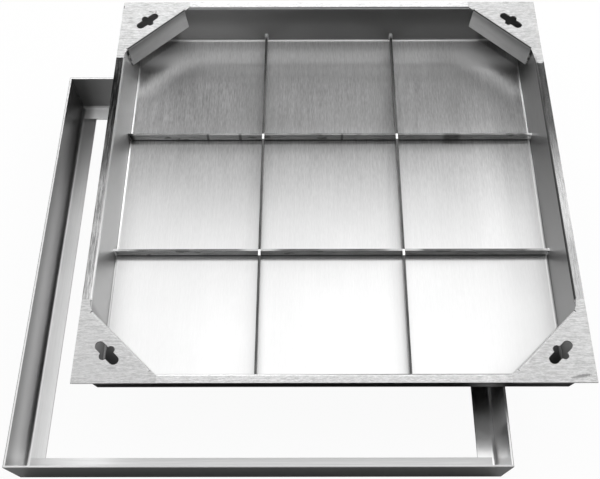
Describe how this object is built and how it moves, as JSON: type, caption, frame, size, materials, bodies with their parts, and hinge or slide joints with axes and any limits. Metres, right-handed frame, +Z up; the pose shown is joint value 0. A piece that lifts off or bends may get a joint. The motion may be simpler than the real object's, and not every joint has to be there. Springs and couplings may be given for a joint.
{
  "type": "recessed paving cover",
  "caption": "Square recessed cover for paving: a folded steel tray with low ribs and triangular corner plates with cross-shaped keyholes, laid offset on its open square frame.",
  "frame": {"origin": "centre of the bounding box in plan, at the underside of the frame", "axes": "+Z up, +Y to the back, +X to the right when the long overlap of the frame shows at the front left"},
  "size_m": [0.6804, 0.679, 0.1195],
  "materials": {
    "pan_steel": "satin, brushed along the depth on the floor and along each rim",
    "plate_steel": "satin, ground across with the rims",
    "rib_steel": "satin",
    "frame_steel": "satin, brushed along each member"
  },
  "bodies": {
    "root": {"tray_pan": "pan_steel", "corner_plate_front_left": "plate_steel", "corner_plate_front_right": "plate_steel", "corner_plate_back_left": "plate_steel", "corner_plate_back_right": "plate_steel", "rib_cross_front": "rib_steel", "rib_cross_back": "rib_steel", "rib_long_left": "rib_steel", "rib_long_right": "rib_steel", "frame_front": "frame_steel", "frame_back": "frame_steel", "frame_left": "frame_steel", "frame_right": "frame_steel"}
  },
  "joints": []
}
